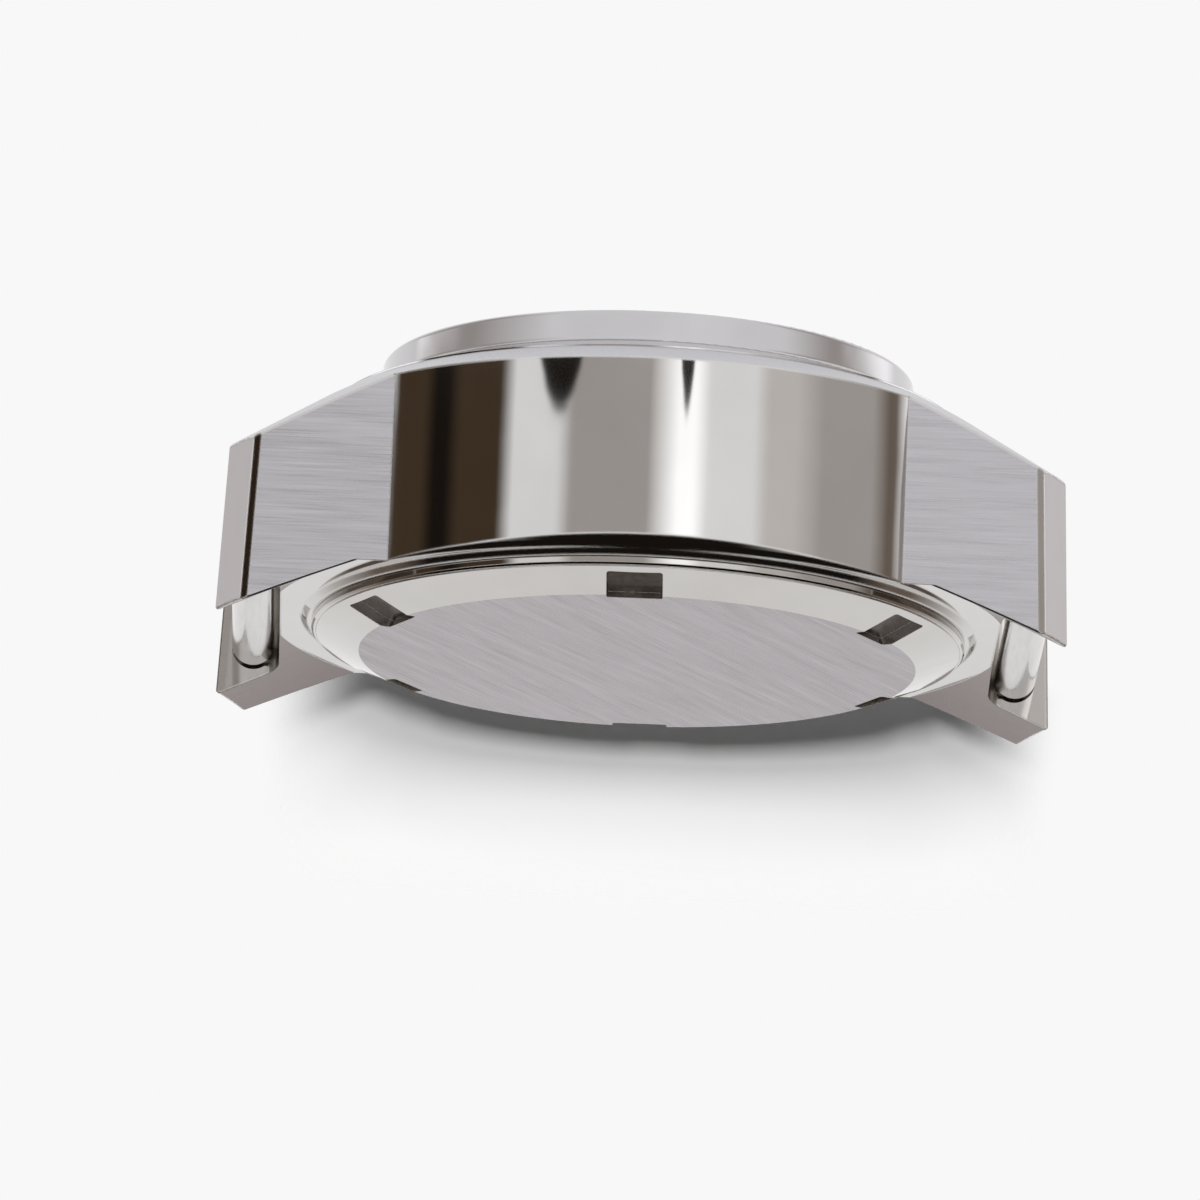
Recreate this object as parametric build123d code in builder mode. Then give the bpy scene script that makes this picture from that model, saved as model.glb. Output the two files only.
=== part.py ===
from build123d import *
from math import atan2, cos, hypot, radians, sin, tan
import os

# Empty stainless watch case with fat spring bars, screw back and screw crown.
# +Z is the dial axis, upwards. X runs along the 12 to 6 line, with 12 at -X.
# -Y is the plain 9 o'clock flank and +Y the crown side. The origin is the
# centre of the case back's flat face, and the lug tips reach a little below it.

# Case middle, outside: heights run up from the back, widths run in from the flank
flank_r = 19.6
flank_height = 10.71
shoulder_width = 1.85
shoulder_slope = 0.57
lug_top_slope = 0.64
lug_under_slope = 0.5
lug_under_start = 1.15
boss_height = 0.35
boss_width = 0.35
boss_inset = 1.0

# Lugs
lug_width = 3.45
lug_reach = 4.05
strap_gap = 20.0
end_wall_reach = 0.55
end_wall_corner_r = 0.8
tip_drop = 2.39
tip_plan_slope = 0.426
tip_flare_slope = 0.04
tip_top_edge_r = 0.4
tip_under_edge_r = 0.15
end_bevel = 0.32
side_bevel = 0.11

# Off-axis polished bevel under each flank: it dies out at the lug roots
bevel_axis_shift = 2.0
bevel_foot_height = 0.27
bevel_foot_depth = 0.25
bevel_height = 0.66

# Case middle, inside
movement_ledge = 2.4
neck_wall = 2.0
neck_height = 0.55
crystal_seat_depth = 0.7
dial_lip_width = 1.1
dial_lip_height = 0.7
thread_relief = 0.38
seal_groove_width = 0.9
seal_groove_wall = 0.4
seal_groove_depth = 0.56

# Bezel
bezel_ledge_gap = 0.05
bezel_edge_height = 0.12
bezel_skirt_width = 2.65
bezel_skirt_height = 1.07
bezel_foot_fillet = 0.35
bezel_wall_height = 1.78
bezel_wall_lean = 0.1
bezel_edge_r = 0.3
bezel_top_width = 0.9
bezel_chamfer_width = 0.45
bezel_chamfer_height = 0.35
bezel_fit_gap = 0.01

# Crystal, its seal and the ring under it
crystal_seal_wall = 0.5
crystal_seal_foot = 0.3
crystal_seal_foot_width = 0.55
crystal_seal_recess = 0.2
crystal_stand = 0.3
crystal_dome = 0.25
crystal_bevel = 0.25
rehaut_height = 1.9
rehaut_slope_width = 0.5
rehaut_step = 0.1
rehaut_fit_gap = 0.02
rehaut_edge_height = 0.25

# Case back
cone_width = 2.45
cone_height = 1.03
flange_step = 0.06
flange_height = 0.43
flange_ledge = 0.25
flange_inset = 0.25
flange_bevel = 0.12
flange_gap = 0.02
seal_cover = 0.4
back_thread_gap = 0.05
back_skirt_wall = 1.3
back_skirt_height = 2.6
back_floor = 1.35
notch_count = 6
notch_width = 3.1
notch_length = 2.73
notch_depth = 0.68
notch_inset = 0.7
notch_corner_r = 0.2
back_turn_deg = -2.0
seal_clearance = 0.05

# Crown side
crown_above_underside = 5.31
crown_r = 3.1
spotface_gap = 0.35
spotface_depth = 0.3
tube_bore_r = 0.95
tube_wall = 0.55
tube_thread_step = 0.2
tube_thread_length = 1.9
tube_flange_width = 0.35
tube_flange_length = 0.3
tube_seal_length = 0.35
tube_inner_gap = 0.25
tube_fit_gap = 0.01
crown_foot_gap = 0.12
crown_thread_gap = 0.06
crown_cap = 0.7
crown_flutes = 30
crown_flute_r = 0.2
crown_edge = 0.3
crown_seal_gap = 0.1
crown_seal_fit = 0.02
crown_seal_length = 0.45
crown_washer_gap = 0.05
crown_washer_length = 0.25
crown_washer_ledge = 0.46
post_gap = 0.07
post_inset = 0.4
post_head_fit = 0.06
post_head_length = 0.3
post_head_gap = 0.02
stem_hole_r = 0.45
stem_hole_depth = 2.0
crown_spring_wire_r = 0.11
crown_spring_wall_gap = 0.24
crown_spring_pitch = 0.31
crown_spring_turns = 2

# Spring bars
bar_tip_inset = 2.0
bar_above_underside = 0.44
bar_r = 1.2
bar_wall = 0.48
bar_end_gap = 0.3
bar_lip = 0.4
bar_edge = 0.2
pin_reach = 0.9
pin_end_gap = 0.2
pin_fit = 0.05
pin_nose = 0.12
shank_fit = 0.04
shank_step = 0.23
shank_length = 2.6
shank_gap = 0.02
bar_spring_wire_r = 0.12
bar_spring_turns = 10
spring_wall_gap = 0.02

# How far a face or an edge must point along a direction to be picked by it
facing_share = 0.85
level_share = 0.7
long_edge = 3.0

# Overrun of a cutting solid past the surface it cuts
overrun = 2.0


def turned(points):
    """Solid turned about the dial axis, from points of radius and height."""
    with BuildPart() as body:
        with BuildSketch(Plane.XZ):
            with BuildLine():
                Polyline(*points, close=True)
            make_face()
        revolve(axis=Axis.Z)
    return body.part


def turned_across(x, z, points):
    """Solid turned about a line along Y at x and z, from points of y and radius."""
    with BuildPart() as body:
        with BuildSketch(Plane(origin=(x, 0, z), x_dir=(0, 1, 0), z_dir=(1, 0, 0))):
            with BuildLine():
                Polyline(*points, close=True)
            make_face()
        revolve(axis=Axis((x, 0, z), (0, 1, 0)))
    return body.part


def spring_along_y(x, z, y_low, y_high, coil_r, wire_r, turns):
    """Open compression spring along Y that just fits between two heights."""
    rise = y_high - y_low - wire_r - wire_r
    path = Helix(rise / turns, rise, coil_r, center=(x, y_low + wire_r, z),
                 direction=(0, 1, 0), mode=Mode.PRIVATE)
    with BuildPart() as coil:
        with BuildSketch(Plane(origin=path @ 0, z_dir=path % 0)):
            Circle(wire_r)
        sweep(path=path, is_frenet=True)
    return coil.part


# Heights from the back's flat face up
flange_foot_z = cone_height + flange_step
flange_top_z = flange_foot_z + flange_height
boss_face_z = flange_top_z + flange_gap
underside_z = boss_face_z + boss_height
seal_groove_top_z = boss_face_z + seal_groove_depth
back_skirt_top_z = flange_top_z + back_skirt_height
thread_bore_top_z = back_skirt_top_z + thread_relief
flank_top_z = underside_z + flank_height
ledge_z = flank_top_z + shoulder_slope * shoulder_width
neck_top_z = ledge_z + neck_height
dial_lip_top_z = neck_top_z - crystal_seat_depth
movement_top_z = dial_lip_top_z - dial_lip_height
rehaut_base_z = movement_top_z - rehaut_height
bezel_wall_base_z = ledge_z + bezel_skirt_height
bezel_top_z = bezel_wall_base_z + bezel_wall_height
bezel_lip_z = bezel_top_z - bezel_chamfer_height
crystal_seal_top_z = bezel_lip_z - crystal_seal_recess
crystal_base_z = dial_lip_top_z + crystal_seal_foot
crystal_edge_z = bezel_lip_z + crystal_stand

# Radii of the bezel and what it holds, from the flank in
ledge_r = flank_r - shoulder_width
bezel_base_r = ledge_r - bezel_ledge_gap
bezel_wall_base_r = bezel_base_r - bezel_skirt_width
bezel_wall_top_r = bezel_wall_base_r - bezel_wall_lean
bezel_top_in_r = bezel_wall_top_r - bezel_top_width
crystal_bore_r = bezel_top_in_r - bezel_chamfer_width
neck_r = crystal_bore_r + neck_wall
dial_lip_r = crystal_bore_r - dial_lip_width
crystal_r = crystal_bore_r - crystal_seal_wall
crystal_seal_foot_r = crystal_r - crystal_seal_foot_width
rehaut_top_r = dial_lip_r - rehaut_step
rehaut_base_r = rehaut_top_r - rehaut_slope_width

# Radii of the back and its seat, from the flank in
boss_face_r = flank_r - boss_inset
boss_foot_r = boss_face_r + boss_width
flange_r = boss_face_r - flange_inset
cone_r = flange_r - flange_ledge
disc_r = cone_r - cone_width
notch_mid_r = disc_r + notch_inset
cone_angle = atan2(cone_height, cone_width)
seal_groove_out_r = flange_r - seal_cover
seal_groove_in_r = seal_groove_out_r - seal_groove_width
thread_bore_r = seal_groove_in_r - seal_groove_wall
back_thread_r = thread_bore_r - back_thread_gap
back_bore_r = back_thread_r - back_skirt_wall
movement_r = thread_bore_r - movement_ledge

# Lugs
gap_half = strap_gap / 2
lug_half_y = gap_half + lug_width
end_wall_x = flank_r + end_wall_reach
tip_x = flank_r + lug_reach
tip_ref_z = underside_z - tip_drop
lug_under_start_r = flank_r + lug_under_start
blank_r = hypot(tip_x, lug_half_y) + overrun
blank_top_z = flank_top_z - lug_top_slope * (blank_r - flank_r)
blank_under_z = underside_z - lug_under_slope * (blank_r - lug_under_start_r)

# Crown side, from the dial axis outwards
crown_z = underside_z + crown_above_underside
tube_inner_y = movement_r + tube_inner_gap
post_inner_y = tube_inner_y + post_inset
crown_spotface_y = flank_r - spotface_depth
tube_seat_y = crown_spotface_y - tube_flange_length
tube_seal_y = tube_seat_y - tube_seal_length
tube_end_y = crown_spotface_y + tube_thread_length
crown_foot_y = crown_spotface_y + crown_foot_gap
crown_seal_y = tube_end_y + crown_seal_gap
crown_washer_y = crown_seal_y + crown_seal_length
crown_bore_end_y = crown_washer_y + crown_washer_length
post_head_y = crown_bore_end_y + post_head_gap
post_end_y = post_head_y + post_head_length
crown_spring_y = post_end_y + spring_wall_gap
crown_spring_end_y = (crown_spring_y + crown_spring_turns * crown_spring_pitch
                      + crown_spring_wire_r + crown_spring_wire_r)
crown_chamber_end_y = crown_spring_end_y + spring_wall_gap
crown_end_y = crown_chamber_end_y + crown_cap
crown_spotface_r = crown_r + spotface_gap
tube_r = tube_bore_r + tube_wall
tube_thread_r = tube_r + tube_thread_step
tube_flange_r = tube_thread_r + tube_flange_width
post_r = tube_bore_r - post_gap
crown_bore_r = tube_thread_r + crown_thread_gap
crown_chamber_r = crown_bore_r - crown_washer_ledge
post_head_r = crown_chamber_r - post_head_fit
crown_seal_r = post_r + crown_seal_fit
crown_washer_r = post_r + crown_washer_gap
crown_spring_coil_r = crown_chamber_r - crown_spring_wall_gap - crown_spring_wire_r

# Spring bars, from the middle out to the ends of the pins
bar_x = tip_x - bar_tip_inset
bar_z = underside_z + bar_above_underside
bar_bore_r = bar_r - bar_wall
shank_r = bar_bore_r - shank_fit
pin_r = shank_r - shank_step
pin_hole_r = pin_r + pin_fit
bar_half = gap_half - bar_end_gap
bar_lip_y = bar_half - bar_lip
shank_out_y = bar_lip_y - shank_gap
shank_in_y = shank_out_y - shank_length
pin_end_y = gap_half + pin_reach
pins_reach_y = pin_end_y + pin_end_gap

os.makedirs("parts", exist_ok=True)

# Case middle: a turned blank, cut to its plan outline
with BuildPart() as blank:
    add(turned([
        (thread_bore_r, boss_face_z), (seal_groove_in_r, boss_face_z),
        (seal_groove_in_r, seal_groove_top_z), (seal_groove_out_r, seal_groove_top_z),
        (seal_groove_out_r, boss_face_z), (boss_face_r, boss_face_z),
        (boss_foot_r, underside_z), (lug_under_start_r, underside_z),
        (blank_r, blank_under_z), (blank_r, blank_top_z), (flank_r, flank_top_z),
        (ledge_r, ledge_z), (neck_r, ledge_z), (neck_r, neck_top_z),
        (crystal_bore_r, neck_top_z), (crystal_bore_r, dial_lip_top_z),
        (dial_lip_r, dial_lip_top_z), (dial_lip_r, movement_top_z),
        (movement_r, movement_top_z), (movement_r, thread_bore_top_z),
        (thread_bore_r, thread_bore_top_z)]))
    # Round flanks and a straight lug block, less the strap gaps
    with BuildSketch(Plane.XY.offset(blank_under_z - overrun)):
        Circle(flank_r)
        Rectangle(tip_x + tip_x + overrun, lug_half_y + lug_half_y)
        with Locations((end_wall_x + blank_r / 2, 0), (-end_wall_x - blank_r / 2, 0)):
            RectangleRounded(blank_r, strap_gap, end_wall_corner_r, mode=Mode.SUBTRACT)
    extrude(amount=blank_r + blank_r, mode=Mode.INTERSECT)

# The space beyond the slanted end faces of the four lugs
tip_normal = (1, tip_plan_slope, tip_flare_slope)
with BuildPart() as tip_cut:
    with BuildSketch(Plane(origin=(tip_x, gap_half, tip_ref_z), x_dir=(0, 0, 1), z_dir=tip_normal)):
        Rectangle(blank_r + blank_r, blank_r)
    extrude(amount=blank_r)
    with BuildSketch(Plane.XZ):
        Rectangle(blank_r * 4, blank_r * 4)
    extrude(amount=blank_r * 2, mode=Mode.SUBTRACT)
    mirror(about=Plane.XZ)
    mirror(about=Plane.YZ)

# Polished bevel under the flanks, turned about an axis off the dial axis
bevel_start = boss_foot_r + bevel_axis_shift
bevel_rim = flank_r + bevel_axis_shift
bevel_rise = (bevel_height - bevel_foot_height) / bevel_foot_depth
with BuildPart() as flank_bevel:
    with BuildSketch(Plane(origin=(0, bevel_axis_shift, 0), x_dir=(0, -1, 0), z_dir=(-1, 0, 0))):
        with BuildLine():
            Polyline(
                (bevel_start, underside_z - overrun), (bevel_start, underside_z),
                (bevel_rim - bevel_foot_depth, underside_z + bevel_foot_height),
                (bevel_rim, underside_z + bevel_height),
                (bevel_rim + overrun, underside_z + bevel_height + bevel_rise * overrun),
                (bevel_rim + overrun, underside_z - overrun), close=True)
        make_face()
    revolve(axis=Axis((0, bevel_axis_shift, 0), (0, 0, 1)))
    with BuildSketch(Plane.XZ.offset(lug_half_y)):
        Rectangle(blank_r * 4, blank_r * 4)
    extrude(amount=-blank_r * 2, mode=Mode.SUBTRACT)
    mirror(about=Plane.XZ)


def lug_end_edges(body, place):
    """Lowest (0) or highest (-1) edge of each of the four slanted lug ends."""
    return [face.edges().filter_by(lambda edge: abs((edge % 0.5).Y) > facing_share)
            .sort_by(Axis.Z)[place] for face in lug_end_faces(body)]


def lug_end_faces(body):
    """The four slanted end faces of the lugs."""
    return body.faces().filter_by(GeomType.PLANE).filter_by(
        lambda face: abs(face.center().X) > bar_x and abs(face.normal_at().X) > facing_share)


def lug_side_edges(body):
    """Long upper and lower edges of the lugs' outer faces."""
    return ShapeList(
        edge for face in body.faces().filter_by(Axis.Y) for edge in face.edges()
        if abs(abs(face.center().Y) - lug_half_y) < side_bevel
        and abs((edge % 0.5).X) > level_share and edge.length > long_edge)


with BuildPart() as mid_case:
    add(blank.part)
    add(tip_cut.part, mode=Mode.SUBTRACT)
    add(flank_bevel.part, mode=Mode.SUBTRACT)
    chamfer(lug_side_edges(mid_case), side_bevel)
    chamfer([face.edges().sort_by(lambda edge: abs(edge.center().Y))[-1]
             for face in lug_end_faces(mid_case)], end_bevel)
    fillet(lug_end_edges(mid_case, -1), tip_top_edge_r)
    fillet(lug_end_edges(mid_case, 0), tip_under_edge_r)
    # Blind holes for the spring-bar pins
    with BuildSketch(Plane.XZ.offset(-pins_reach_y)):
        with Locations((bar_x, bar_z), (-bar_x, bar_z)):
            Circle(pin_hole_r)
    extrude(amount=pins_reach_y + pins_reach_y, mode=Mode.SUBTRACT)
    # Crown side: spot face, seat of the tube's flange and hole for the tube
    with BuildSketch(Plane.XZ.offset(-crown_spotface_y)):
        with Locations((0, crown_z)):
            Circle(crown_spotface_r)
    extrude(amount=-overrun, mode=Mode.SUBTRACT)
    with BuildSketch(Plane.XZ.offset(-tube_seal_y)):
        with Locations((0, crown_z)):
            Circle(tube_flange_r + tube_fit_gap)
    extrude(amount=-overrun, mode=Mode.SUBTRACT)
    with BuildSketch(Plane.XZ.offset(-tube_seal_y)):
        with Locations((0, crown_z)):
            Circle(tube_r + tube_fit_gap)
    extrude(amount=tube_seal_y - movement_r + overrun, mode=Mode.SUBTRACT)
mid_case.part.label = "mid_case"
export_step(mid_case.part, "parts/mid_case.step")

# Smooth bezel: low conical skirt, upright polished wall, chamfered inner edge
with BuildPart() as bezel:
    with BuildSketch(Plane.XZ) as bezel_profile:
        with BuildLine():
            Polyline(
                (neck_r + bezel_fit_gap, ledge_z), (bezel_base_r, ledge_z),
                (bezel_base_r, ledge_z + bezel_edge_height),
                (bezel_wall_base_r, bezel_wall_base_z), (bezel_wall_top_r, bezel_top_z),
                (bezel_top_in_r, bezel_top_z), (crystal_bore_r, bezel_lip_z),
                (crystal_bore_r, neck_top_z), (neck_r + bezel_fit_gap, neck_top_z), close=True)
        make_face()
        fillet(bezel_profile.vertices().sort_by_distance((bezel_wall_base_r, bezel_wall_base_z))[0],
               bezel_foot_fillet)
        fillet(bezel_profile.vertices().sort_by_distance((bezel_wall_top_r, bezel_top_z))[0],
               bezel_edge_r)
    revolve(axis=Axis.Z)
bezel.part.label = "bezel"
export_step(bezel.part, "parts/bezel.step")

# L-shaped ring that the crystal is pressed into
with BuildPart() as crystal_seal:
    add(turned([
        (crystal_seal_foot_r, dial_lip_top_z), (crystal_bore_r, dial_lip_top_z),
        (crystal_bore_r, crystal_seal_top_z), (crystal_r, crystal_seal_top_z),
        (crystal_r, crystal_base_z), (crystal_seal_foot_r, crystal_base_z)]))
crystal_seal.part.label = "crystal_seal"
export_step(crystal_seal.part, "parts/crystal_seal.step")

# Crystal with a slightly domed face and a bevelled edge
with BuildPart() as crystal:
    with BuildSketch(Plane.XZ):
        with BuildLine():
            Polyline(
                (0, crystal_edge_z + crystal_dome), (0, crystal_base_z),
                (crystal_r, crystal_base_z), (crystal_r, crystal_edge_z - crystal_bevel),
                (crystal_r - crystal_bevel, crystal_edge_z))
            TangentArc((0, crystal_edge_z + crystal_dome), (crystal_r - crystal_bevel, crystal_edge_z),
                       tangent=(1, 0))
        make_face()
    revolve(axis=Axis.Z)
crystal.part.label = "crystal"
export_step(crystal.part, "parts/crystal.step")

# Sloping ring between crystal and dial, pushed up against the dial lip
with BuildPart() as rehaut:
    add(turned([
        (rehaut_base_r, rehaut_base_z), (movement_r - rehaut_fit_gap, rehaut_base_z),
        (movement_r - rehaut_fit_gap, movement_top_z), (rehaut_top_r, movement_top_z),
        (rehaut_base_r, rehaut_base_z + rehaut_edge_height)]))
rehaut.part.label = "rehaut"
export_step(rehaut.part, "parts/rehaut.step")

# Screw back: flat disc, cone with wrench pockets, flange and threaded skirt
with BuildPart() as case_back:
    add(turned([
        (0, 0), (disc_r, 0), (cone_r, cone_height), (cone_r, flange_foot_z),
        (flange_r - flange_bevel, flange_foot_z), (flange_r, flange_foot_z + flange_bevel),
        (flange_r, flange_top_z),
        (back_thread_r, flange_top_z), (back_thread_r, back_skirt_top_z),
        (back_bore_r, back_skirt_top_z), (back_bore_r, back_floor),
        (0, back_floor)]))
    for place in range(notch_count):
        turn = radians(back_turn_deg - 90 + 360 / notch_count * place)
        with BuildSketch(Plane(
                origin=(notch_mid_r * cos(turn), notch_mid_r * sin(turn),
                        (notch_mid_r - disc_r) * tan(cone_angle)),
                x_dir=(-sin(turn), cos(turn), 0),
                z_dir=(sin(cone_angle) * cos(turn), sin(cone_angle) * sin(turn),
                       -cos(cone_angle)))):
            RectangleRounded(notch_width, notch_length, notch_corner_r)
        extrude(amount=-notch_depth, mode=Mode.SUBTRACT)
case_back.part.label = "case_back"
export_step(case_back.part, "parts/case_back.step")

# Flat seal ring between the back's flange and its groove in the case middle
with BuildPart() as back_seal:
    add(turned([
        (seal_groove_in_r + seal_clearance, flange_top_z),
        (seal_groove_out_r - seal_clearance, flange_top_z),
        (seal_groove_out_r - seal_clearance, seal_groove_top_z - seal_clearance),
        (seal_groove_in_r + seal_clearance, seal_groove_top_z - seal_clearance)]))
back_seal.part.label = "back_seal"
export_step(back_seal.part, "parts/back_seal.step")

# Crown tube: pressed into the flank up to its flange, threaded outside
with BuildPart() as crown_tube:
    add(turned_across(0, crown_z, [
        (tube_inner_y, tube_bore_r), (tube_inner_y, tube_r), (tube_seat_y, tube_r),
        (tube_seat_y, tube_flange_r), (crown_spotface_y, tube_flange_r),
        (crown_spotface_y, tube_thread_r), (tube_end_y, tube_thread_r),
        (tube_end_y, tube_bore_r)]))
crown_tube.part.label = "crown_tube"
export_step(crown_tube.part, "parts/crown_tube.step")

with BuildPart() as tube_seal:
    add(turned_across(0, crown_z, [
        (tube_seal_y, tube_r), (tube_seal_y, tube_flange_r),
        (tube_seat_y, tube_flange_r), (tube_seat_y, tube_r)]))
tube_seal.part.label = "tube_seal"
export_step(tube_seal.part, "parts/tube_seal.step")

# Screw crown: fluted cap, bored for the tube and for the spring chamber
with BuildPart() as crown:
    add(turned_across(0, crown_z, [
        (crown_foot_y, crown_bore_r), (crown_foot_y, crown_r - crown_edge),
        (crown_foot_y + crown_edge, crown_r), (crown_end_y - crown_edge, crown_r),
        (crown_end_y, crown_r - crown_edge), (crown_end_y, 0), (crown_chamber_end_y, 0),
        (crown_chamber_end_y, crown_chamber_r), (crown_bore_end_y, crown_chamber_r),
        (crown_bore_end_y, crown_bore_r)]))
    with BuildSketch(Plane.XZ.offset(-crown_end_y - overrun)):
        with Locations((0, crown_z)):
            with PolarLocations(crown_r, crown_flutes):
                Circle(crown_flute_r)
    extrude(amount=crown_end_y - crown_foot_y + overrun * 2, mode=Mode.SUBTRACT)
crown.part.label = "crown"
export_step(crown.part, "parts/crown.step")

with BuildPart() as crown_seal:
    add(turned_across(0, crown_z, [
        (crown_seal_y, crown_seal_r), (crown_seal_y, crown_bore_r),
        (crown_washer_y, crown_bore_r), (crown_washer_y, crown_seal_r)]))
crown_seal.part.label = "crown_seal"
export_step(crown_seal.part, "parts/crown_seal.step")

# Washer pressed into the crown: it keeps the seal in and stops the post's head
with BuildPart() as crown_washer:
    add(turned_across(0, crown_z, [
        (crown_washer_y, crown_washer_r), (crown_washer_y, crown_bore_r),
        (crown_bore_end_y, crown_bore_r), (crown_bore_end_y, crown_washer_r)]))
crown_washer.part.label = "crown_washer"
export_step(crown_washer.part, "parts/crown_washer.step")

# Post through the tube: its head is held in the crown, its inner end takes the stem
with BuildPart() as crown_post:
    add(turned_across(0, crown_z, [
        (post_inner_y, stem_hole_r), (post_inner_y, post_r), (post_head_y, post_r),
        (post_head_y, post_head_r), (post_end_y, post_head_r),
        (post_end_y, 0), (post_inner_y + stem_hole_depth, 0),
        (post_inner_y + stem_hole_depth, stem_hole_r)]))
crown_post.part.label = "crown_post"
export_step(crown_post.part, "parts/crown_post.step")

# Spring that lifts the crown off the post's head when it is unscrewed
with BuildPart() as crown_spring:
    add(spring_along_y(
        0, crown_z, crown_spring_y, crown_spring_end_y, crown_spring_coil_r,
        crown_spring_wire_r, crown_spring_turns))
crown_spring.part.label = "crown_spring"
export_step(crown_spring.part, "parts/crown_spring.step")

# Two spring bars: tube with turned-in ends, a spring and a shouldered pin each end
for bar_name, side in (("bar_12", -1), ("bar_6", 1)):
    with BuildPart() as bar_tube:
        add(turned_across(side * bar_x, bar_z, [
            (-bar_half, pin_hole_r), (-bar_half, bar_r - bar_edge), (bar_edge - bar_half, bar_r),
            (bar_half - bar_edge, bar_r), (bar_half, bar_r - bar_edge), (bar_half, pin_hole_r),
            (bar_lip_y, pin_hole_r), (bar_lip_y, bar_bore_r), (-bar_lip_y, bar_bore_r),
            (-bar_lip_y, pin_hole_r)]))
    bar_tube.part.label = bar_name
    export_step(bar_tube.part, f"parts/{bar_name}.step")
    with BuildPart() as bar_spring:
        add(spring_along_y(
            side * bar_x, bar_z, spring_wall_gap - shank_in_y, shank_in_y - spring_wall_gap,
            bar_bore_r - spring_wall_gap - bar_spring_wire_r, bar_spring_wire_r,
            bar_spring_turns))
    bar_spring.part.label = f"{bar_name}_spring"
    export_step(bar_spring.part, f"parts/{bar_name}_spring.step")
    for pin_name, end in (("near", -1), ("far", 1)):
        with BuildPart() as bar_pin:
            add(turned_across(side * bar_x, bar_z, [
                (end * shank_in_y, 0), (end * shank_in_y, shank_r), (end * shank_out_y, shank_r),
                (end * shank_out_y, pin_r), (end * (pin_end_y - pin_nose), pin_r),
                (end * pin_end_y, pin_r - pin_nose), (end * pin_end_y, 0)]))
        bar_pin.part.label = f"{bar_name}_pin_{pin_name}"
        export_step(bar_pin.part, f"parts/{bar_name}_pin_{pin_name}.step")
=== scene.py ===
import math

import bpy
from mathutils import Matrix, Vector


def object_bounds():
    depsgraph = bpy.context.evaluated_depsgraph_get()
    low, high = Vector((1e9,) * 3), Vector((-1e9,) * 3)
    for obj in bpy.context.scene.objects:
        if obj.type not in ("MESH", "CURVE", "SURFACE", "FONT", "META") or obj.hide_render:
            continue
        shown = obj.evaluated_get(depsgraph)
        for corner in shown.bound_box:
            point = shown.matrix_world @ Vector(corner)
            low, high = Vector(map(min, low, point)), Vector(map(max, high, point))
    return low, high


bl_info = {
    "name": "Empty watch case",
    "version": (1, 0, 0),
    "blender": (4, 5, 0),
    "location": "View3D > Sidebar > Watch case",
    "description": "Gives an empty steel watch case its finishes, studio and camera",
    "category": "Object",
}

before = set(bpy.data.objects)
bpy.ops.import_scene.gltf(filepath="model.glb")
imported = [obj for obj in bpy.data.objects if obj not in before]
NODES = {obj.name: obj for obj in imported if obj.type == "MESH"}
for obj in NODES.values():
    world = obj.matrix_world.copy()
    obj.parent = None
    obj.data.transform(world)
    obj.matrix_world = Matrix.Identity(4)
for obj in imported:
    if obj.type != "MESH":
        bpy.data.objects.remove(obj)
CAD_BOX = [list(corner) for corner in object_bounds()]
MM = 0.001
# Between which values Blender's noise lies for most of a surface, and for nearly all of it
NOISE = (0.36, 0.64)
WIDE_NOISE = (0.3, 0.7)
# Distance after which Blender's wave repeats at scale 1
WAVE = math.tau / 20
# A wall runs along an axis where its normal's part along that axis stays below this
ALONG = 0.1
# How far in mm a face's centre may lie off the surface that it belongs to
SLACK = 0.05


def linear(code):
    """Linear red, green, blue and alpha of an sRGB hex colour."""
    parts = [int(code[place:place + 2], 16) / 255 for place in (1, 3, 5)]
    return [part / 12.92 if part <= 0.04045 else ((part + 0.055) / 1.055) ** 2.4
            for part in parts] + [1.0]


def node(tree, kind, inputs=(), **settings):
    """Adds a node with its settings. Inputs, in order or by name, are values, or nodes or sockets
    to link."""
    made = tree.nodes.new(kind)
    for name, value in settings.items():
        setattr(made, name, value)
    for place, value in inputs.items() if isinstance(inputs, dict) else enumerate(inputs):
        if isinstance(value, bpy.types.Node):
            value = next(out for out in value.outputs if out.enabled)
        if isinstance(value, bpy.types.NodeSocket):
            tree.links.new(value, made.inputs[place])
        elif value is not None:
            made.inputs[place].default_value = value
    return made


def new_material(name):
    """A new material's tree, Object coordinates and Principled shader, after the material."""
    material = bpy.data.materials.new(name)
    material.use_nodes = True
    tree = material.node_tree
    tree.nodes.clear()
    place = node(tree, "ShaderNodeTexCoord").outputs["Object"]
    shader = node(tree, "ShaderNodeBsdfPrincipled")
    node(tree, "ShaderNodeOutputMaterial", {"Surface": shader})
    return material, tree, place, shader


def marks(tree, place, size, stretch=(1, 1, 1), turn=0.0, detail=3.0):
    """Marks of a size in mm, drawn out along X, Y and Z and turned about Z by degrees."""
    drawn = node(tree, "ShaderNodeMapping", {
        "Vector": place, "Scale": stretch, "Rotation": (0, 0, math.radians(turn)),
    }, vector_type="TEXTURE")
    return node(tree, "ShaderNodeTexNoise", {
        "Vector": drawn, "Scale": 1 / (size * MM), "Detail": detail, "Roughness": 0.6})


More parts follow.
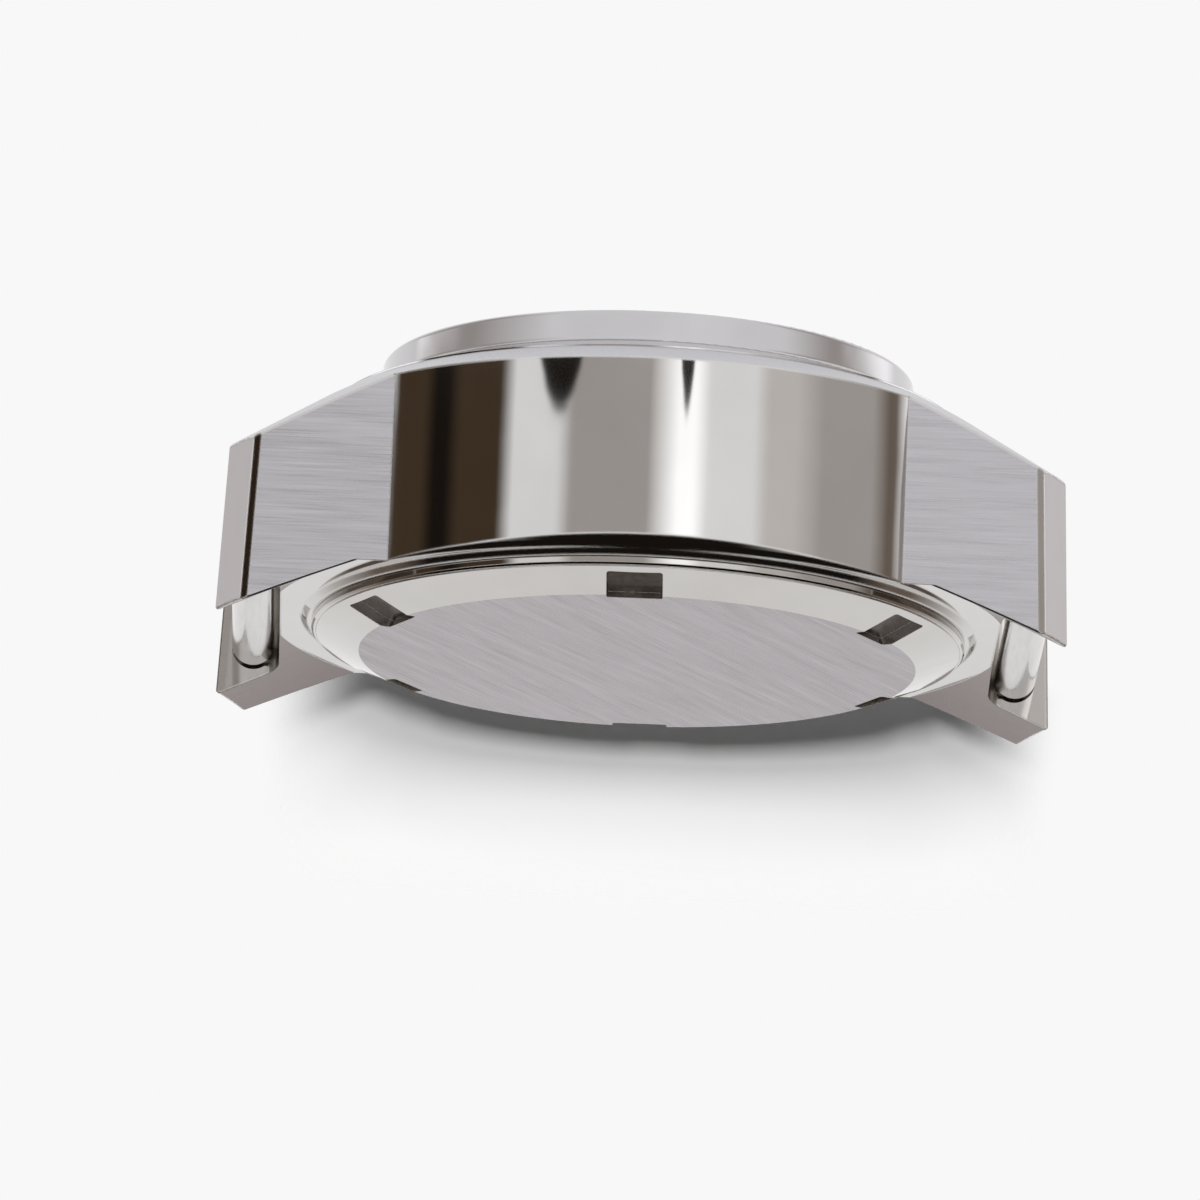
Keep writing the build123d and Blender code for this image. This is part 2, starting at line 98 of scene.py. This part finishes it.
def steel(name, dark, bright, rough, size, stretch=(1, 1, 1), turn=0.0, depth=0.0, pitch=0.0,
          axis="Z", edge=0.05, rolled=()):
    """Stainless steel with marks of a size and depth in mm. A pitch in mm puts grooves across an
    axis in their place, as a lathe cuts. Edge is the radius in mm to which sharp edges are worn.
    Rolled holds the height in mm at which a buffed wall ends, the width over which it rolls over
    there and the slope that it reaches."""
    material, tree, place, shader = new_material(name)
    fine = marks(tree, place, size, stretch, turn, 2.0)
    # Broad marks, six times as large and a third as drawn out, make up nearly half
    broad = marks(tree, place, size * 6, [1 + (part - 1) / 3 for part in stretch], turn)
    both = node(tree, "ShaderNodeMix", [0.45, None, fine.outputs["Fac"], broad.outputs["Fac"]])
    shade = node(tree, "ShaderNodeMapRange", [both, *NOISE, 0.0, 1.0])
    colour = node(tree, "ShaderNodeMix", {0: shade, 6: linear(dark), 7: linear(bright)},
                  data_type="RGBA")
    rubbed = node(tree, "ShaderNodeMapRange", [both, *NOISE, rough * 0.8, rough * 1.25])
    height = fine.outputs["Fac"]
    if pitch:
        height = node(tree, "ShaderNodeTexWave", {"Vector": place, "Scale": WAVE / (pitch * MM)},
                      bands_direction=axis)
    worn = node(tree, "ShaderNodeBevel", {"Radius": edge * MM})
    if rolled:
        top, width, slope = rolled
        z = node(tree, "ShaderNodeSeparateXYZ", [place]).outputs["Z"]
        near = node(tree, "ShaderNodeMapRange", [z, (top - width) * MM, top * MM, 0.0, 1.0])
        fall = node(tree, "ShaderNodeMath", [near, 2.0], operation="POWER")
        # A square of this height reaches the slope at its end
        worn = node(tree, "ShaderNodeBump", {
            "Strength": 1.0, "Distance": slope * width / 2 * MM, "Height": fall, "Normal": worn,
        }, invert=True)
    bump = node(tree, "ShaderNodeBump", {
        "Strength": 1.0, "Distance": depth * MM, "Height": height, "Normal": worn})
    for socket, value in (("Base Color", colour.outputs[2]), ("Roughness", rubbed.outputs[0]),
                          ("Normal", bump.outputs[0])):
        tree.links.new(value, shader.inputs[socket])
    shader.inputs["Metallic"].default_value = 1.0
    return material


def moulded(name, dark, bright, rough):
    """Moulded rubber or nylon: matt, slightly cloudy, with a fine grain."""
    material, tree, place, shader = new_material(name)
    cloud, grain = marks(tree, place, 1.4), marks(tree, place, 0.11, detail=2.0)
    shade = node(tree, "ShaderNodeMix", {0: cloud, 6: linear(dark), 7: linear(bright)},
                 data_type="RGBA")
    rubbed = node(tree, "ShaderNodeMapRange", [cloud, *WIDE_NOISE, rough * 0.9, rough * 1.1])
    bump = node(tree, "ShaderNodeBump", {"Strength": 0.4, "Distance": 0.02 * MM, "Height": grain})
    for socket, value in (("Base Color", shade.outputs[2]), ("Roughness", rubbed.outputs[0]),
                          ("Normal", bump.outputs[0])):
        tree.links.new(value, shader.inputs[socket])
    return material


def sapphire():
    """Clear sapphire: colourless, strongly refracting, with only a breath of haze."""
    material, tree, place, shader = new_material("sapphire, polished")
    haze = marks(tree, place, 3.0)
    shade = node(tree, "ShaderNodeMix", {0: haze, 6: linear("#f4f7f9"), 7: linear("#fbfcfd")},
                 data_type="RGBA")
    rubbed = node(tree, "ShaderNodeMapRange", [haze, *WIDE_NOISE, 0.0, 0.02])
    tree.links.new(shade.outputs[2], shader.inputs["Base Color"])
    tree.links.new(rubbed.outputs[0], shader.inputs["Roughness"])
    shader.inputs["IOR"].default_value = 1.77
    shader.inputs["Transmission Weight"].default_value = 1.0
    return material


def dress(names, finish, *others):
    """Gives CAD nodes a finish, and others where their test of a face's centre in mm and of its
    normal holds. The last one that holds counts."""
    for name in names:
        mesh = NODES[name].data
        mesh.materials.clear()
        for material in (finish, *(other for other, test in others)):
            mesh.materials.append(material)
        for face in mesh.polygons:
            spot, out = face.center / MM, face.normal
            held = [slot for slot, (other, test) in enumerate(others, 1) if test(spot, out)]
            face.material_index = held[-1] if held else 0


def dial_radius(spot):
    """Distance of a place from the dial axis."""
    return math.hypot(spot.x, spot.y)


class CaseSizes(bpy.types.PropertyGroup):
    """Places in mm where one finish of the case meets the next"""
    lug_side: bpy.props.FloatProperty(
        name="Lug side", description="From the dial axis to the lugs' outer faces, in mm",
        default=13.45)
    flank_radius: bpy.props.FloatProperty(
        name="Flank radius", description="Radius of the polished flanks, in mm", default=19.6)
    shoulder_start: bpy.props.FloatProperty(
        name="Shoulder start", description="Radius at which the shoulder leaves the bezel, in mm",
        default=17.75)
    lug_end: bpy.props.FloatProperty(
        name="Lug end",
        description="Least distance of the lugs' end faces from the crown's plane, in mm",
        default=22.0)
    thread_radius: bpy.props.FloatProperty(
        name="Thread radius", description="Radius of the thread that holds the back, in mm",
        default=16.65)
    movement_top: bpy.props.FloatProperty(
        name="Movement top", description="Height of the seat above the movement, in mm",
        default=12.8)
    disc_radius: bpy.props.FloatProperty(
        name="Disc radius", description="Radius of the back's brushed disc, in mm", default=15.65)
    back_bore: bpy.props.FloatProperty(
        name="Back bore", description="Radius of the hollow in the back, in mm", default=15.3)
    crown_height: bpy.props.FloatProperty(
        name="Crown height", description="Height of the crown's axis, in mm", default=7.2)


class StudioSettings(bpy.types.PropertyGroup):
    """Light and camera"""
    lens: bpy.props.FloatProperty(
        name="Lens", description="Focal length, in mm on a 36 mm sensor", default=446.2)
    distance: bpy.props.FloatProperty(
        name="Distance", description="From the camera to the point it aims at", default=0.8358,
        unit="LENGTH")
    front_power: bpy.props.FloatProperty(
        name="Front lamp", description="Power of the small front lamp, in watts", default=2.5)
    soft_power: bpy.props.FloatProperty(
        name="Soft lamp", description="Power of the wide front lamp, in watts", default=3.5)
    back_power: bpy.props.FloatProperty(
        name="Back lamp", description="Power of the high back lamp, in watts", default=5.4)
    sky: bpy.props.FloatProperty(
        name="Sky", description="Strength of the even light from all round", default=0.03)
    mirrored_lamps: bpy.props.FloatProperty(
        name="Mirrored lamps", description="Strength of the lamps that the steel mirrors",
        default=1.5)
    background: bpy.props.FloatVectorProperty(
        name="Background", description="Colour of the paper behind the case", subtype="COLOR",
        size=4, default=linear("#f8f8f8"))


class CASE_OT_middle(bpy.types.Operator):
    """Case middle: mirror flanks, brushed lugs, turned inside"""
    bl_idname = "watch_case.middle"
    bl_label = "Case middle"

    def execute(self, context):
        sizes = context.scene.case_sizes
        # Buffed flanks: a clear mirror, with a slow waviness from the wheel
        mirror = steel("stainless steel, mirror polished", "#c6c3c0", "#cdcac8", 0.045, 5.0,
                       depth=0.004, edge=0.2)
        flank = steel("stainless steel, mirror polished flank", "#d0cfce", "#d7d6d5", 0.045, 5.0,
                      depth=0.006, edge=0.2, rolled=(12.6, 4.5, 0.022))
        # Lugs drawn lengthwise over abrasive cloth: cool grey with fine level lines
        lengthwise = steel("stainless steel, brushed lengthwise", "#bebdc2", "#cdccd1", 0.3, 0.06,
                           (70, 1, 1), depth=0.0008, edge=0.12)
        # Their undersides: painted darker and warmer, as painted shade under the lugs
        painted_shade_beneath = steel("stainless steel, brushed beneath", "#8f8684", "#a09795", 0.33, 0.07,
                        (70, 1, 1), depth=0.0006)
        # Lug ends rubbed upright: warmer, flatter grey
        upright = steel("stainless steel, brushed upright", "#b3adae", "#bdb7b8", 0.36, 0.07,
                        (1, 1, 30), depth=0.0004)
        # Walls of the strap gaps, only milled and blasted: dull warm grey
        blasted = steel("stainless steel, blasted", "#a9a49c", "#bcb7ae", 0.35, 0.5, depth=0.002)
        # Bored inside: dull rings about the dial axis
        bored = steel("stainless steel, bored", "#a5a3a0", "#b9b7b4", 0.3, 0.5, depth=0.004,
                      pitch=0.25)
        # Cut thread for the back: even grooves that catch the light
        thread = steel("stainless steel, internal thread", "#aaa8a5", "#bab8b5", 0.2, 0.5,
                       depth=0.12, pitch=0.75)
        # The strap gaps' walls: their least and greatest distance from the crown's plane, and half
        # their width
        gap_near, gap_far, gap_half = 19.9, 21, 10.01
        # The bored inside ends this far outside the thread and above the seat of the movement
        thread_rim, dial_lip = 0.2, 1.5

        def on_flank(spot, out):
            return abs(dial_radius(spot) - sizes.flank_radius) < SLACK and abs(out.z) < ALONG

        def on_lug_side(spot, out):
            return abs(out.y) > 0.99 and abs(abs(spot.y) - sizes.lug_side) < SLACK

        def on_shoulder(spot, out):
            return out.z > 0.6 and dial_radius(spot) > sizes.shoulder_start - 0.1

        # Lug undersides: the faces that get the painted shade
        def under_lug(spot, out):
            return -0.97 < out.z < -0.6 and dial_radius(spot) > sizes.flank_radius + 1

        def on_lug_end(spot, out):
            return (abs(out.x) > 0.85 and abs(spot.x) > sizes.lug_end
                    and dial_radius(spot) > sizes.flank_radius + SLACK
                    and abs(spot.y) < sizes.lug_side + SLACK)

        def in_strap_gap(spot, out):
            return (abs(out.x) > 0.3 and abs(out.z) < 0.3 and gap_near < abs(spot.x) < gap_far
                    and abs(spot.y) < gap_half)

        def inside(spot, out):
            # Its faces don't point away from the dial axis
            return (dial_radius(spot) < sizes.thread_radius + thread_rim
                    and spot.z < sizes.movement_top + dial_lip
                    and out.x * spot.x + out.y * spot.y < 1)

        def on_thread(spot, out):
            return (abs(dial_radius(spot) - sizes.thread_radius) < 0.06 and abs(out.z) < ALONG
                    and inside(spot, out))

        dress(["mid_case"], mirror, (flank, on_flank), (lengthwise, on_lug_side),
              (lengthwise, on_shoulder), (painted_shade_beneath, under_lug), (upright, on_lug_end),
              (blasted, in_strap_gap), (bored, inside), (thread, on_thread))
        return {"FINISHED"}


class CASE_OT_bezel(bpy.types.Operator):
    """Polished bezel"""
    bl_idname = "watch_case.bezel"
    bl_label = "Bezel"

    def execute(self, context):
        # Polished by hand: a mirror that is a little softer than the flanks
        polished = steel("stainless steel, polished bezel", "#c6c4c6", "#cfcdcf", 0.1, 5.0,
                         depth=0.004)
        dress(["bezel"], polished)
        return {"FINISHED"}


class CASE_OT_crystal(bpy.types.Operator):
    """Crystal, its seal and the ring under it"""
    bl_idname = "watch_case.crystal"
    bl_label = "Crystal"

    def execute(self, context):
        dress(["crystal"], sapphire())
        # Nylon: milky white and matt
        dress(["crystal_seal"], moulded("nylon, moulded", "#d8d7d0", "#e6e5df", 0.5))
        # Satin ring: soft grey under the glass
        satin = steel("stainless steel, satin ring", "#b2b1b0", "#c2c1c0", 0.35, 0.4, depth=0.001)
        dress(["rehaut"], satin)
        return {"FINISHED"}


class CASE_OT_back(bpy.types.Operator):
    """Case back: brushed disc, polished cone, milled pockets, turned inside; and its seal"""
    bl_idname = "watch_case.back"
    bl_label = "Case back"

    def execute(self, context):
        sizes = context.scene.case_sizes
        # Turned and buffed cone and rim: pale clear mirror
        cone = steel("stainless steel, polished cone", "#c6c3c0", "#cdcac7", 0.07, 5.0,
                     depth=0.003)
        # Disc drawn slantwise over coarse cloth: pinkish grey with plain lines
        slantwise = steel("stainless steel, brushed slantwise", "#837c80", "#b8b1b5", 0.28, 0.12,
                          (50, 1, 1), 60, depth=0.005)
        # Wrench pockets, milled: their floors painted dark, as shade in the pockets, and uneven;
        # their walls bright steel
        milled = steel("stainless steel, milled floor", "#3b3531", "#5a524d", 0.22, 0.35,
                       depth=0.006)
        cut = steel("stainless steel, milled wall", "#c3beb9", "#d6d2cd", 0.14, 0.35, depth=0.004)
        # Turned inside: dull rings
        turned = steel("stainless steel, turned", "#a5a3a0", "#b9b7b4", 0.28, 0.5, depth=0.003,
                       pitch=0.2)
        # Its thread: even grooves that catch the light
        thread = steel("stainless steel, thread of the back", "#aaa8a5", "#bab8b5", 0.2, 0.5,
                       depth=0.12, pitch=0.75)
        # The cone rises by this part of its run, from the disc's edge on
        cone_slope = 0.42
        # Pockets: radius at which they end, height below which they lie, and how far they are sunk
        pocket_end, pocket_top, sunk = 17.95, 1.2, 0.03
        # Heights above which the turned inside and the thread lie, and how thick the wall is
        inside_foot, thread_foot, wall = 1.3, 1.6, 1.25

        def on_disc(spot, out):
            return out.z < -0.99 and abs(spot.z) < 0.01

        def in_pocket(spot, out):
            rise = max(0.0, (dial_radius(spot) - sizes.disc_radius) * cone_slope)
            return (dial_radius(spot) < pocket_end and spot.z < pocket_top
                    and spot.z - rise > sunk)

        def on_pocket_floor(spot, out):
            return in_pocket(spot, out) and out.z < -0.8

        def inside(spot, out):
            return spot.z > inside_foot and dial_radius(spot) < sizes.back_bore + wall

        def on_thread(spot, out):
            return (spot.z > thread_foot and abs(out.z) < ALONG
                    and sizes.back_bore + wall < dial_radius(spot) < sizes.thread_radius)

        # The pocket floors carry painted shade
        dress(["case_back"], cone, (slantwise, on_disc), (cut, in_pocket),
              (milled, on_pocket_floor), (turned, inside), (thread, on_thread))
        # Nitrile rubber: matt near-black
        dress(["back_seal"], moulded("nitrile rubber", "#0e0e0e", "#1a1a1a", 0.6))
        return {"FINISHED"}


class CASE_OT_crown(bpy.types.Operator):
    """Crown with its post, spring, washer and seal, and the tube it screws on"""
    bl_idname = "watch_case.crown"
    bl_label = "Crown"

    def execute(self, context):
        sizes = context.scene.case_sizes
        # Crown polished over its flutes: bright, a little soft
        polished = steel("stainless steel, polished crown", "#c2bfbc", "#cecbc8", 0.12, 3.0,
                         depth=0.003)
        # Small turned parts: dull, with rings across their axis
        turned = steel("stainless steel, turned small parts", "#a5a3a0", "#b9b7b4", 0.22, 0.3,
                       depth=0.002, pitch=0.12, axis="Y")
        # The tube's thread: fine even grooves
        thread = steel("stainless steel, thread of the tube", "#aaa8a5", "#bab8b5", 0.2, 0.3,
                       depth=0.06, pitch=0.35, axis="Y")
        # Drawn wire: darker and smooth
        wire = steel("spring steel, drawn wire", "#8d8c8b", "#a5a4a3", 0.22, 0.2, depth=0.0005)
        # Nitrile rubber: matt near-black
        rubber = moulded("nitrile rubber, crown", "#0e0e0e", "#1a1a1a", 0.6)
        # Radius in mm outside which the tube's wall is threaded
        tube_bore = 1.6

        def on_thread(spot, out):
            return (spot.y > sizes.flank_radius and abs(out.y) < ALONG
                    and math.hypot(spot.x, spot.z - sizes.crown_height) > tube_bore)

        dress(["crown"], polished)
        dress(["crown_post", "crown_washer"], turned)
        dress(["crown_tube"], turned, (thread, on_thread))
        dress(["crown_spring"], wire)
        dress(["tube_seal", "crown_seal"], rubber)
        return {"FINISHED"}


class CASE_OT_bars(bpy.types.Operator):
    """Both spring bars with their pins and springs"""
    bl_idname = "watch_case.bars"
    bl_label = "Spring bars"

    def execute(self, context):
        # Drawn and tumbled tube: bright, softly streaked along its length
        tube = steel("stainless steel, drawn bar", "#bdbab8", "#d0cdcb", 0.13, 0.3, (1, 12, 1),
                     depth=0.002)
        # Turned pins: dull, with fine rings
        pin = steel("stainless steel, turned pins", "#a5a3a0", "#b9b7b4", 0.22, 0.3, depth=0.001,
                    pitch=0.1, axis="Y")
        # Drawn wire: darker and smooth
        wire = steel("spring steel, bar wire", "#8d8c8b", "#a5a4a3", 0.22, 0.2, depth=0.0005)
        for bar in ("bar_12", "bar_6"):
            dress([bar], tube)
            dress([bar + "_pin_near", bar + "_pin_far"], pin)
            dress([bar + "_spring"], wire)
        return {"FINISHED"}


# Plain tones of the things round the case that the steel mirrors, and of the paper between them
TONES = {
    "black": "#1c1814", "brown": "#483a2c", "slate": "#75695f", "grey": "#b4aeaa",
    "silver": "#d6d1cc", "paper": "#f8f8f8", "lamp": "#ffffff"}
# Where they stand, in degrees from the front towards 6 o'clock: a curtain towards 12 o'clock, a
# grey wall in front, a lamp and a grey wall towards 6 o'clock, and a lamp beyond either side
WALLS = (
    (-180, -125, "paper"), (-120, -95, "lamp"), (-90, -80, "brown"), (-75, -70, "black"),
    (-65, -50, "brown"), (-45, -30, "paper"), (-25, 0, "grey"), (10, 15, "lamp"),
    (20, 35, "paper"), (40, 50, "silver"), (60, 80, "grey"), (87, 90, "slate"),
    (95, 125, "lamp"), (135, 180, "paper"))
CEILING = (
    (-180, -140, "paper"), (-110, -85, "grey"), (-45, 60, "paper"), (85, 100, "grey"),
    (120, 180, "paper"))
TABLE = (
    (-180, -150, "paper"), (-125, -95, "slate"), (-60, 60, "paper"), (95, 125, "slate"),
    (150, 180, "paper"))
# Dark hoods that hang in the paper and before the lamp: the middle and half the width of each in
# degrees, and the height of their feet on the round sky
HOODS = ((-30, 10), (12, 3))
HOOD_FOOT = 0.26
# Sheets of paper: size, centre and tilt of each, how much whiter the camera sees it, and along
# what it fades in, from one place to the next
SHEETS = {
    "floor": (1.6, (0, 0, CAD_BOX[0][2] - 0.02 * MM), 0, 1.35, (("reach", 0.2, 0.06),)),
    "shadow_sheet": (0.06, (0, 45 * MM, -4.37 * MM), 153, 2.15, (
        ("x", -0.0215, -0.0145), ("x", 0.0255, 0.0185), ("y", 0.0247, 0.0267),
        ("y", 0.046, 0.0365)))}


def white_paper(name, whiter, fades):
    """White drawing paper, faintly grained, that shows only its front and fades out at its ends.
    It is whiter for the camera alone, so that no more light falls on the case."""
    material = bpy.data.materials.new("white paper, " + name)
    material.use_nodes = True
    tree = material.node_tree
    tree.nodes.clear()
    place = node(tree, "ShaderNodeTexCoord").outputs["Object"]
    grain = marks(tree, place, 0.8)
    colour = node(tree, "ShaderNodeMix", {0: grain, 6: linear("#f5f5f5"), 7: linear("#f7f7f7")},
                  data_type="RGBA")
    direct = node(tree, "ShaderNodeLightPath").outputs["Is Camera Ray"]
    gain = node(tree, "ShaderNodeMapRange", [direct, 0, 1, 1, whiter])
    colour = node(tree, "ShaderNodeVectorMath", [colour.outputs[2], gain], operation="MULTIPLY")
    x, y, z = node(tree, "ShaderNodeSeparateXYZ", [place]).outputs
    reach = node(tree, "ShaderNodeVectorMath", [place], operation="LENGTH").outputs["Value"]
    behind = node(tree, "ShaderNodeNewGeometry").outputs["Backfacing"]
    shown = node(tree, "ShaderNodeMath", [1.0, behind], operation="SUBTRACT")
    for way, start, stop in fades:
        source = {"x": x, "y": y, "reach": reach}[way]
        edge = node(tree, "ShaderNodeMapRange", [source, start, stop, 0, 1],
                    interpolation_type="SMOOTHSTEP")
        shown = node(tree, "ShaderNodeMath", [shown, edge], operation="MULTIPLY")
    white = node(tree, "ShaderNodeBsdfDiffuse", [colour])
    clear = node(tree, "ShaderNodeBsdfTransparent")
    surface = node(tree, "ShaderNodeMixShader", [shown, clear, white])
    node(tree, "ShaderNodeOutputMaterial", [surface])
    return material


class CASE_OT_stage(bpy.types.Operator):
    """Floor, shadow sheet, room, lamps and camera"""
    bl_idname = "watch_case.stage"
    bl_label = "Studio"

    def execute(self, context):
        settings = context.scene.studio_settings
        context.scene.view_settings.view_transform = "Standard"
        self.room(context, settings)
        self.sheets()
        self.lamps(settings)
        self.camera(context, settings)
        return {"FINISHED"}

    def room(self, context, settings):
        """World: even light, white paper to the camera, and walls, lamps and paper to the steel"""
        world = context.scene.world or bpy.data.worlds.new("studio")
        context.scene.world = world
        world.use_nodes = True
        tree = world.node_tree
        tree.nodes.clear()
        way = node(tree, "ShaderNodeTexCoord").outputs["Generated"]
        x, y, z = node(tree, "ShaderNodeSeparateXYZ", [way]).outputs
        fore = node(tree, "ShaderNodeMath", [y, -1.0], operation="MULTIPLY")
        turn = node(tree, "ShaderNodeMath", [x, fore], operation="ARCTAN2")
        turn = node(tree, "ShaderNodeMath", [turn], operation="DEGREES")
        share = node(tree, "ShaderNodeMapRange", [turn, -180, 180, 0, 1])
        tones = {name: linear(code) for name, code in TONES.items()}
        tones["lamp"] = [part * settings.mirrored_lamps for part in tones["lamp"]]
        rings = []
        for strips in (WALLS, CEILING, TABLE):
            ring = node(tree, "ShaderNodeValToRGB", [share])
            stops = ring.color_ramp.elements
            edges = [(edge, tone) for start, stop, tone in strips for edge in (start, stop)]
            for count, (edge, tone) in enumerate(edges):
                # A new ramp has two stops already
                stop = stops[count] if count < 2 else stops.new(1.0)
                stop.position = (edge + 180) / 360
                stop.color = tones[tone]
            rings.append(ring)
        walls, ceiling, table = rings

        # From dark ground in front to pale ground behind, with an edge that recedes to the sides
        aside = node(tree, "ShaderNodeMath", [x], operation="ABSOLUTE")
        far = node(tree, "ShaderNodeMath", [aside, -0.6, y], operation="MULTIPLY_ADD")
        # What covers the ground, along which value it comes in, and from where to where
        layers = [(tones["paper"], far, 0.3, 0.4), (table, z, -0.75, -0.65), (walls, z, -0.1, 0.0)]
        for middle, half in HOODS:
            aside = node(tree, "ShaderNodeMapRange", [turn, middle - half, middle + half, -1, 1])
            arch = node(tree, "ShaderNodeMath", [aside, 2.0], operation="POWER")
            arch = node(tree, "ShaderNodeMath", [arch, -0.06, z], operation="MULTIPLY_ADD")
            inside = node(tree, "ShaderNodeMath", [aside], operation="ABSOLUTE")
            inside = node(tree, "ShaderNodeMath", [inside, 0.999], operation="LESS_THAN")
            hood = node(tree, "ShaderNodeMath", [arch, inside], operation="MULTIPLY")
            layers.append((tones["black"], hood, HOOD_FOOT, HOOD_FOOT + 0.01))
        layers += [(ceiling, z, 0.30, 0.32), (tones["paper"], z, 0.8, 0.9)]
        seen = tones["black"]
        for layer, source, start, stop in layers:
            cover = node(tree, "ShaderNodeMapRange", [source, start, stop, 0, 1])
            seen = node(tree, "ShaderNodeMix", {0: cover, 6: seen, 7: layer}, data_type="RGBA")

        path = node(tree, "ShaderNodeLightPath").outputs
        mirrored = node(tree, "ShaderNodeBackground", [seen, 1.0])
        even = node(tree, "ShaderNodeBackground", [(1, 1, 1, 1), settings.sky])
        paper = node(tree, "ShaderNodeBackground", [settings.background, 1.0])
        lit = node(tree, "ShaderNodeMixShader", [path["Is Glossy Ray"], even, mirrored])
        direct = node(tree, "ShaderNodeMath", [path["Is Camera Ray"], path["Is Transmission Ray"]],
                      operation="MAXIMUM")
        surface = node(tree, "ShaderNodeMixShader", [direct, lit, paper])
        node(tree, "ShaderNodeOutputWorld", [surface])

    def sheets(self):
        """Floor under the case, and a leaning sheet behind it that takes its shadow"""
        for name, (size, spot, tilt, whiter, fades) in SHEETS.items():
            bpy.ops.object.select_all(action="DESELECT")
            bpy.ops.mesh.primitive_plane_add(size=size, location=spot,
                                             rotation=(math.radians(tilt), 0, 0))
            bpy.ops.object.transform_apply(location=True, rotation=True, scale=True)
            sheet = bpy.context.object
            sheet.name = name
            sheet.visible_glossy = sheet.visible_diffuse = sheet.visible_transmission = False
            sheet.visible_shadow = False
            sheet.data.materials.append(white_paper(name, whiter, fades))

    def lamps(self, settings):
        """Two lamps in front that throw the shadow behind the case, and a high one behind for the
        floor"""
        for name, spot, size, power in (
                ("front_lamp", (-0.07, -0.78, -0.117), 0.05, settings.front_power),
                ("soft_lamp", (-0.05, -0.79, -0.02), 0.12, settings.soft_power),
                ("back_lamp", (0.15, 0.38, 0.69), 0.25, settings.back_power)):
            bpy.ops.object.select_all(action="DESELECT")
            bpy.ops.object.light_add(type="AREA", location=spot)
            lamp = bpy.context.object
            lamp.name = name
            lamp.data.size = size
            lamp.data.energy = power
            lamp.visible_glossy = False
            lamp.rotation_euler = (-lamp.location).to_track_quat("-Z", "Y").to_euler()

    def camera(self, context, settings):
        """Long lens, a little below the case and turned slightly about its line of sight"""
        azimuth, elevation, roll = (math.radians(angle) for angle in (-0.793, -13.803, 2.361))
        aim = Vector((-2.215, 0, 3.488)) * MM
        back = Vector((math.sin(azimuth) * math.cos(elevation),
                       -math.cos(azimuth) * math.cos(elevation), math.sin(elevation)))
        right = (-back).cross(Vector((0, 0, 1))).normalized()
        up = right.cross(-back)
        across = right * math.cos(roll) + up * math.sin(roll)
        above = up * math.cos(roll) - right * math.sin(roll)
        bpy.ops.object.camera_add(location=aim + back * settings.distance)
        camera = bpy.context.object
        camera.name = "camera"
        camera.rotation_euler = Matrix((across, above, back)).transposed().to_euler()
        camera.data.lens = settings.lens
        camera.data.sensor_width = 36
        camera.data.clip_start, camera.data.clip_end = 0.05, 20
        context.scene.camera = camera


OPERATORS = (CASE_OT_middle, CASE_OT_bezel, CASE_OT_crystal, CASE_OT_back, CASE_OT_crown,
             CASE_OT_bars, CASE_OT_stage)


class CASE_PT_panel(bpy.types.Panel):
    """Lists the case's pieces"""
    bl_idname = "CASE_PT_panel"
    bl_label = "Watch case"
    bl_space_type = "VIEW_3D"
    bl_region_type = "UI"
    bl_category = "Watch case"

    def draw(self, context):
        for kind in OPERATORS:
            self.layout.operator(kind.bl_idname)


CLASSES = (CaseSizes, StudioSettings, *OPERATORS, CASE_PT_panel)


def register():
    for kind in CLASSES:
        bpy.utils.register_class(kind)
    bpy.types.Scene.case_sizes = bpy.props.PointerProperty(type=CaseSizes)
    bpy.types.Scene.studio_settings = bpy.props.PointerProperty(type=StudioSettings)


def unregister():
    del bpy.types.Scene.case_sizes
    del bpy.types.Scene.studio_settings
    for kind in reversed(CLASSES):
        bpy.utils.unregister_class(kind)


def main():
    register()
    for kind in OPERATORS:
        group, name = kind.bl_idname.split(".")
        getattr(getattr(bpy.ops, group), name)()


if __name__ == "__main__":
    main()
